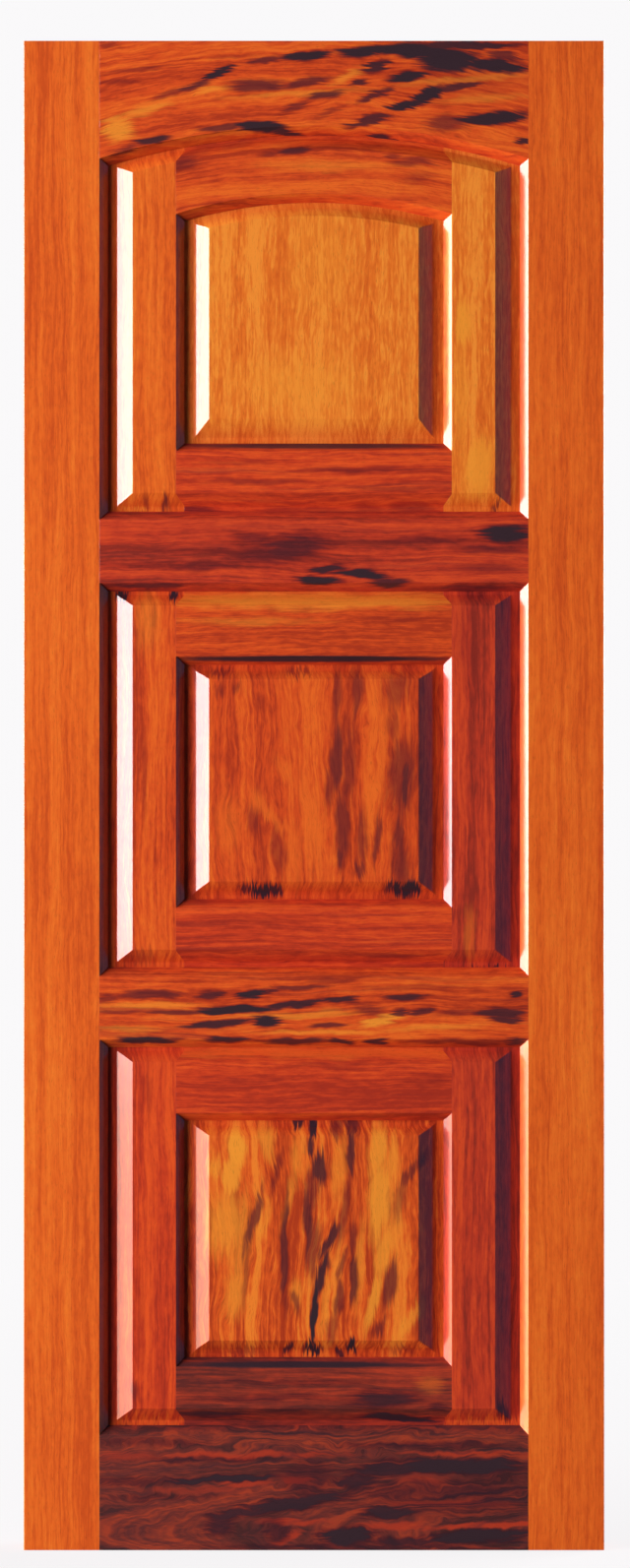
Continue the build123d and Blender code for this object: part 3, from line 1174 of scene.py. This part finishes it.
def round_edges(solid, edges, width, segments):
    """Rounds these edges over the given width each side."""
    bmesh.ops.bevel(
        solid,
        geom=edges,
        offset=width,
        offset_type="OFFSET",
        segments=segments,
        profile=CIRCULAR,
        affect="EDGES",
        clamp_overlap=True,
    )


def dress(piece, material):
    """Gives a piece its one material."""
    piece.data.materials.clear()
    piece.data.materials.append(material)


# A dowel's blank has two points to a flute, and four rings, of which the outer two are
# further from its middle than END_ZONE of its length
POINTS_PER_FLUTE = 2.0
BLANK_SEGMENTS = 3
END_ZONE = 0.4

# Beech with fine fibres along the dowels and small darker flecks
BEECH = [(0.3, (0.42, 0.25, 0.12)), (0.7, (0.62, 0.42, 0.22))]
BEECH_GRAIN = Noise(20.0, 600.0, 600.0, detail=3.0, roughness=0.6)
BEECH_FLECKS = Noise(400.0, 1500.0, 1500.0, weight=0.2)
FLECK_RANGE = (0.6, 0.75)
BEECH_ROUGHNESS = 0.55
BEECH_ROUGHNESS_RISE = 0.2
BEECH_BUMP_STRENGTH = 0.3
BEECH_BUMP_DISTANCE = 0.0001


def loose_parts(name):
    """The lowest and highest corners of each separate solid in a node, side by side and
    then from the bottom up."""
    solid = bmesh.new()
    solid.from_mesh(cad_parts[name].data)
    bmesh.ops.remove_doubles(solid, verts=solid.verts, dist=MERGE)
    left = set(solid.verts)
    parts = []
    while left:
        part = {left.pop()}
        reached = list(part)
        while reached:
            for edge in reached.pop().link_edges:
                new = set(edge.verts) & left
                left -= new
                part |= new
                reached += new
        places = [vertex.co for vertex in part]
        low = Vector(min(place[axis] for place in places) for axis in range(3))
        high = Vector(max(place[axis] for place in places) for axis in range(3))
        parts.append((low, high))
    solid.free()
    return sorted(parts, key=lambda part: (round(part[0].x / MM), part[0].z))


def dowel_tree():
    """Geometry Nodes that put a fluted dowel on each point, lying along X."""
    tree = bpy.data.node_groups.new("fluted_dowels", "GeometryNodeTree")
    inputs = (
        ("Points", "NodeSocketGeometry"),
        ("Radius", "NodeSocketFloat"),
        ("Length", "NodeSocketFloat"),
        ("End taper", "NodeSocketFloat"),
        ("Flutes", "NodeSocketInt"),
        ("Flute depth", "NodeSocketFloat"),
        ("Seed", "NodeSocketInt"),
        ("Timber", "NodeSocketMaterial"),
    )
    for name, kind in inputs:
        tree.interface.new_socket(name, in_out="INPUT", socket_type=kind)
    tree.interface.new_socket("Dowels", in_out="OUTPUT", socket_type="NodeSocketGeometry")
    graph = Graph(tree)
    given = graph.node("NodeGroupInput", {}, {}).socket.node.outputs
    radius, length, taper, flutes, depth, seed = (
        Field(graph, given[name])
        for name in ("Radius", "Length", "End taper", "Flutes", "Flute depth", "Seed")
    )

    # The blank, with its two inner rings moved out to the tapers
    sockets = {
        "Vertices": flutes * POINTS_PER_FLUTE,
        "Side Segments": BLANK_SEGMENTS,
        "Radius": radius,
        "Depth": length,
    }
    blank = graph.node("GeometryNodeMeshCylinder", {"fill_type": "NGON"}, sockets)
    x, y, z = graph.split(graph.node("GeometryNodeInputPosition", {}, {}))
    index = graph.node("GeometryNodeInputIndex", {}, {})
    sockets = {0: index, 1: POINTS_PER_FLUTE}
    odd = graph.node("ShaderNodeMath", {"operation": "MODULO"}, sockets)
    sockets = {0: abs(z), 1: length * END_ZONE}
    at_end = graph.node("ShaderNodeMath", {"operation": "GREATER_THAN"}, sockets)
    side = graph.node("ShaderNodeMath", {"operation": "SIGN"}, {0: z})
    scale = 1.0 - odd * (depth / radius) - at_end * (taper / radius)
    height = side * (length / 2.0 - (1.0 - at_end) * taper)
    place = graph.join(x * scale, y * scale, height)
    dowel = graph.node("GeometryNodeSetPosition", {}, {"Geometry": blank, "Position": place})

    # One on each point, turned to lie along X, each rolled its own way
    sockets = {"Points": Field(graph, given["Points"]), "Instance": dowel}
    sockets["Rotation"] = (0.0, QUARTER_TURN, 0.0)
    laid = graph.node("GeometryNodeInstanceOnPoints", {}, sockets)
    sockets = {2: 0.0, 3: math.tau, "Seed": seed}
    roll = graph.node("FunctionNodeRandomValue", {"data_type": "FLOAT"}, sockets, 1)
    sockets = {"Instances": laid, "Rotation": graph.join(0.0, 0.0, roll), "Local Space": True}
    laid = graph.node("GeometryNodeRotateInstances", {}, sockets)
    solid = graph.node("GeometryNodeRealizeInstances", {}, {"Geometry": laid})
    sockets = {"Geometry": solid, "Material": Field(graph, given["Timber"])}
    solid = graph.node("GeometryNodeSetMaterial", {}, sockets)
    graph.node("NodeGroupOutput", {}, {"Dowels": solid})
    return tree


def make_dowels(name, settings):
    """Fluted dowels in the place of the plain ones."""
    parts = loose_parts(name)
    points = bpy.data.meshes.new("dowel_points")
    points.from_pydata([(low + high) / 2 for low, high in parts], [], [])
    low, high = parts[0]
    maker = bpy.data.objects.new("dowel_maker", points)
    bpy.context.scene.collection.objects.link(maker)
    tree = dowel_tree()
    modifier = maker.modifiers.new("dowels", "NODES")
    modifier.node_group = tree
    values = {
        "Radius": (high.z - low.z) / 2,
        "Length": high.x - low.x,
        "End taper": settings.taper,
        "Flutes": settings.flutes,
        "Flute depth": settings.flute_depth,
        "Seed": settings.seed,
        "Timber": dowel_timber(),
    }
    for socket in tree.interface.items_tree:
        if socket.name in values:
            modifier[socket.identifier] = values[socket.name]
    baked = maker.evaluated_get(bpy.context.evaluated_depsgraph_get())
    mesh = bpy.data.meshes.new_from_object(baked)
    maker.modifiers.remove(modifier)
    bpy.data.objects.remove(maker)
    mesh.name = "fluted_dowels"
    dowels = bpy.data.objects.new("fluted_dowels", mesh)
    bpy.context.scene.collection.objects.link(dowels)
    return dowels


def dowel_timber():
    """Plain pale beech, with its grain along the dowels."""
    paint, graph = new_paint("dowel_timber")
    x, y, z = graph.split(graph.point())
    grain = BEECH_GRAIN.at(graph, x, y, 0.0, z)
    fleck = graph.fade(BEECH_FLECKS.at(graph, x, y, 0.0, z), *FLECK_RANGE)
    tone = grain - fleck * BEECH_FLECKS.weight
    colour = graph.node("ShaderNodeValToRGB", {"stops": BEECH}, {0: tone})
    sockets = {"Strength": BEECH_BUMP_STRENGTH, "Distance": BEECH_BUMP_DISTANCE, "Height": grain}
    bump = graph.node("ShaderNodeBump", {}, sockets)
    roughness = grain * BEECH_ROUGHNESS_RISE + BEECH_ROUGHNESS
    graph.finish({"Base Color": colour, "Roughness": roughness, "Normal": bump})
    return paint


def finish_boards(names):
    """Makes the timber of these boards."""
    scene = bpy.context.scene
    for name in names:
        board = eased_board(name, scene.door_timber)
        dress(board, timber(name, BOARDS[name], scene.door_timber, scene.door_varnish))
        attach(board, "root")
        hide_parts(name)


# Stage


FLOOR_REACH = 12.0

# The part of its shading that the floor keeps near the leaf, and the distances from the
# leaf between which it takes on the rest
FLOOR_SHADING = 0.12
SHADING_FADE = (0.3, 2.5)

# Bearings of the lights in degrees, from the front round to the left, and their heights
KEY_BEARINGS = (50.0, 95.0)
BACK_BEARINGS = (229.5, 269.0)
WALL_BEARINGS = (-90.0, -45.0)
LIGHT_DISTANCE = 10.0
LIGHT_TOP = 4.30
KEY_FOOT = 0.05
LOW_KEY_FOOT = -3.20
WALL_FOOT = -2.00
KEY_COLOUR = (1.0, 0.98, 1.0)
LOW_KEY_COLOUR = (1.0, 0.85, 0.62)
WALL_COLOUR = (0.06, 0.50, 1.0)
WHITE = (1.0, 1.0, 1.0)

SENSOR = 36.0
CLIP_END = 100.0


def make_floor(settings):
    """A pale floor that keeps a little of the leaf's shadow and fades into the page."""
    reach = FLOOR_REACH
    mesh = bpy.data.meshes.new("floor")
    corners = [(-reach, -reach, 0), (reach, -reach, 0), (reach, reach, 0), (-reach, reach, 0)]
    mesh.from_pydata(corners, [], [(0, 1, 2, 3)])
    floor = bpy.data.objects.new("floor", mesh)
    bpy.context.scene.collection.objects.link(floor)
    paint, graph = new_paint("floor_paint")
    page = (*settings.page, 1.0)
    seen = graph.node("ShaderNodeLightPath", {}, {}, "Is Camera Ray")
    away = graph.node("ShaderNodeVectorMath", {"operation": "LENGTH"}, {0: graph.point()}, "Value")
    glow = graph.node("ShaderNodeEmission", {}, {"Color": page, "Strength": 1.0})
    matt = graph.node("ShaderNodeBsdfDiffuse", {}, {"Color": page})
    factor = seen * (graph.fade(away, *SHADING_FADE) * FLOOR_SHADING + (1.0 - FLOOR_SHADING))
    surface = graph.node("ShaderNodeMixShader", {}, {0: factor, 1: matt, 2: glow})
    graph.node("ShaderNodeOutputMaterial", {}, {"Surface": surface})
    dress(floor, paint)
    floor.visible_diffuse = False
    floor.visible_glossy = False
    floor.visible_shadow = False


def make_world(scene, settings):
    """A pale page behind the leaf, and a low even light from all round."""
    world = bpy.data.worlds.new("page")
    scene.world = world
    world.use_nodes = True
    graph = Graph(world.node_tree)
    page = {"Color": (*settings.page, 1.0), "Strength": 1.0}
    fill = {"Color": (*WHITE, 1.0), "Strength": settings.fill}
    seen = graph.node("ShaderNodeLightPath", {}, {}, "Is Camera Ray")
    page = graph.node("ShaderNodeBackground", {}, page)
    fill = graph.node("ShaderNodeBackground", {}, fill)
    surface = graph.node("ShaderNodeMixShader", {}, {0: seen, 1: fill, 2: page})
    graph.node("ShaderNodeOutputWorld", {}, {"Surface": surface})


def make_lights(settings):
    """Tall soft lights on the left, dimmer near the floor, a dim cool wall on the right,
    and the same soft light behind the leaf for its back."""
    key, low_key, wall = settings.key_radiance, settings.low_radiance, settings.wall_radiance
    lights = (
        ("key", KEY_BEARINGS, KEY_FOOT, LIGHT_TOP, key, KEY_COLOUR),
        ("low_key", KEY_BEARINGS, LOW_KEY_FOOT, KEY_FOOT, low_key, LOW_KEY_COLOUR),
        ("back_key", BACK_BEARINGS, 0.0, LIGHT_TOP, key, WHITE),
        ("wall", WALL_BEARINGS, WALL_FOOT, LIGHT_TOP, wall, WALL_COLOUR),
    )
    distance = LIGHT_DISTANCE
    for name, bearings, low, high, radiance, colour in lights:
        first, last = (math.radians(bearing) for bearing in bearings)
        turn = (first + last) / 2
        light = bpy.data.lights.new(name, "AREA")
        light.shape = "RECTANGLE"
        light.size = 2 * distance * math.tan((last - first) / 2)
        light.size_y = high - low
        light.energy = radiance * math.pi * light.size * light.size_y
        light.color = colour
        lamp = bpy.data.objects.new(name, light)
        lamp.location = (-distance * math.sin(turn), -distance * math.cos(turn), (low + high) / 2)
        lamp.rotation_euler = (QUARTER_TURN, 0.0, -turn)
        lamp.visible_camera = False
        bpy.context.scene.collection.objects.link(lamp)


def make_camera(scene, settings):
    """The photo's own view: square on to the leaf."""
    metres_per_px = LEAF_HEIGHT / settings.leaf_height_px
    middle_x, middle_y = settings.leaf_middle_px
    camera_data = bpy.data.cameras.new("camera")
    camera_data.sensor_fit = "VERTICAL"
    camera_data.sensor_width = SENSOR
    camera_data.sensor_height = SENSOR
    distance = settings.camera_distance
    view_height = settings.photo_height * metres_per_px
    camera_data.lens = SENSOR * distance / view_height
    camera_data.clip_end = CLIP_END
    camera = bpy.data.objects.new("camera", camera_data)
    camera.location = (
        (settings.photo_width / 2 - middle_x) * metres_per_px,
        -distance - LEAF_FACE,
        LEAF_HEIGHT / 2 + (middle_y - settings.photo_height / 2) * metres_per_px,
    )
    camera.rotation_euler = (QUARTER_TURN, 0.0, 0.0)
    scene.collection.objects.link(camera)
    scene.camera = camera


# Operators


class DOOR_OT_outer_frame(bpy.types.Operator):
    """Finish the stiles and rails of the outer frame"""

    bl_idname = "door.outer_frame"
    bl_label = "Outer frame"

    def execute(self, context):
        finish_boards([name for name in BOARDS if "inner" not in name and "panel" not in name])
        return {"FINISHED"}


class DOOR_OT_inner_frames(bpy.types.Operator):
    """Finish the stiles and rails of the three inner frames"""

    bl_idname = "door.inner_frames"
    bl_label = "Inner frames"

    def execute(self, context):
        finish_boards([name for name in BOARDS if "inner" in name])
        return {"FINISHED"}


class DOOR_OT_centre_panels(bpy.types.Operator):
    """Finish the three raised centre panels"""

    bl_idname = "door.centre_panels"
    bl_label = "Centre panels"

    def execute(self, context):
        finish_boards([name for name in BOARDS if "panel" in name])
        return {"FINISHED"}


class DOOR_OT_dowels(bpy.types.Operator):
    """Make the fluted dowels in the corner joints"""

    bl_idname = "door.dowels"
    bl_label = "Dowels"

    def execute(self, context):
        dowels = make_dowels("frame_dowels", context.scene.door_dowels)
        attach(dowels, "root")
        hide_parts("frame_dowels")
        return {"FINISHED"}


class DOOR_OT_stage(bpy.types.Operator):
    """Make the floor, the lights and the camera"""

    bl_idname = "door.stage"
    bl_label = "Stage"

    def execute(self, context):
        settings = context.scene.door_stage
        make_floor(settings)
        make_world(context.scene, settings)
        make_lights(settings)
        make_camera(context.scene, settings)
        context.scene.view_settings.view_transform = "Standard"
        return {"FINISHED"}


class DOOR_PT_sidebar(bpy.types.Panel):
    """The sidebar's list of what this file makes"""

    bl_idname = "DOOR_PT_sidebar"
    bl_label = "Panelled Front Door"
    bl_space_type = "VIEW_3D"
    bl_region_type = "UI"
    bl_category = "Door"

    def draw(self, context):
        for operator in OPERATORS:
            self.layout.operator(operator.bl_idname)


OPERATORS = (
    DOOR_OT_stage,
    DOOR_OT_outer_frame,
    DOOR_OT_inner_frames,
    DOOR_OT_centre_panels,
    DOOR_OT_dowels,
)
SETTINGS = {
    "door_timber": TimberSettings,
    "door_varnish": VarnishSettings,
    "door_dowels": DowelSettings,
    "door_stage": StageSettings,
}


def register():
    for group in SETTINGS.values():
        bpy.utils.register_class(group)
    for name, group in SETTINGS.items():
        setattr(bpy.types.Scene, name, PointerProperty(type=group))
    for operator in OPERATORS:
        bpy.utils.register_class(operator)
    bpy.utils.register_class(DOOR_PT_sidebar)


def unregister():
    bpy.utils.unregister_class(DOOR_PT_sidebar)
    for operator in reversed(OPERATORS):
        bpy.utils.unregister_class(operator)
    for name in SETTINGS:
        delattr(bpy.types.Scene, name)
    for group in reversed(list(SETTINGS.values())):
        bpy.utils.unregister_class(group)


def main():
    register()
    bpy.ops.door.stage()
    bpy.ops.door.outer_frame()
    bpy.ops.door.inner_frames()
    bpy.ops.door.centre_panels()
    bpy.ops.door.dowels()


if __name__ == "__main__":
    main()
